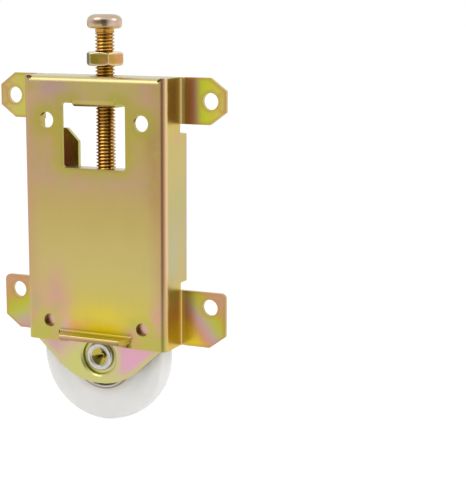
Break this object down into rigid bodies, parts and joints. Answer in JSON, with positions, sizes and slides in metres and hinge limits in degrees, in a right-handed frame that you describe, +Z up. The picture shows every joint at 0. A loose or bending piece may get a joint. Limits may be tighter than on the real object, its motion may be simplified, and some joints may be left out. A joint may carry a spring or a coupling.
{
  "type": "sliding door roller",
  "caption": "Height-adjustable sliding door roller: a pressed sheet housing with ears, a screw-driven wheel carriage and a nylon wheel on a ball bearing.",
  "frame": {"origin": "centre of the four ear holes, on the front faces of the ears", "axes": "+Z up along the adjusting screw, -Y out of the front plate, +X to the right seen from the front"},
  "size_m": [0.0756, 0.0206, 0.1226],
  "materials": {
    "yellow_zinc": "yellow chromate on zinc plate",
    "screw_zinc": "yellow chromate, bronze tone",
    "bright_steel": "bright steel",
    "nylon": "natural white nylon"
  },
  "bodies": {
    "housing": {"housing": "yellow_zinc"},
    "carriage": {"carriage": "yellow_zinc", "axle": "bright_steel", "bearing_inner_ring": "bright_steel"},
    "screw": {"adjuster_screw": "screw_zinc", "swivel_washer": "bright_steel"},
    "nut": {"lock_nut": "yellow_zinc"},
    "wheel": {"tyre": "nylon", "bearing_outer_ring": "bright_steel", "shield_front": "bright_steel", "shield_rear": "bright_steel"},
    "ball_set": {"cage_front": "bright_steel", "cage_rear": "bright_steel", "ball_1": "bright_steel", "ball_2": "bright_steel", "ball_3": "bright_steel", "ball_4": "bright_steel", "ball_5": "bright_steel", "ball_6": "bright_steel", "ball_7": "bright_steel"}
  },
  "joints": [
    {"name": "carriage_slide", "type": "slide", "parent": "housing", "child": "carriage", "axis": [0, 0, 1], "range_m": [-0.006, 0.009]},
    {"name": "screw_turn", "type": "hinge", "parent": "carriage", "child": "screw", "pos_m": [0, -0.0025, 0.0094], "axis": [0, 0, 1], "range_deg": [-2214, 3294]},
    {"name": "lock_nut_run", "type": "slide", "parent": "housing", "child": "nut", "axis": [0, 0, 1], "range_m": [-0.00285, 0.0005]},
    {"name": "wheel_spin", "type": "hinge", "parent": "carriage", "child": "wheel", "pos_m": [0, -0.0025, -0.0469], "axis": [0, 1, 0], "continuous": true},
    {"name": "ball_set_spin", "type": "hinge", "parent": "carriage", "child": "ball_set", "pos_m": [0, -0.0025, -0.0469], "axis": [0, 1, 0], "continuous": true}
  ],
  "couplings": [
    {"joint": "screw_turn", "follows": "carriage_slide", "rad_per_m": 6283.2},
    {"joint": "ball_set_spin", "follows": "wheel_spin", "ratio": 0.628}
  ]
}
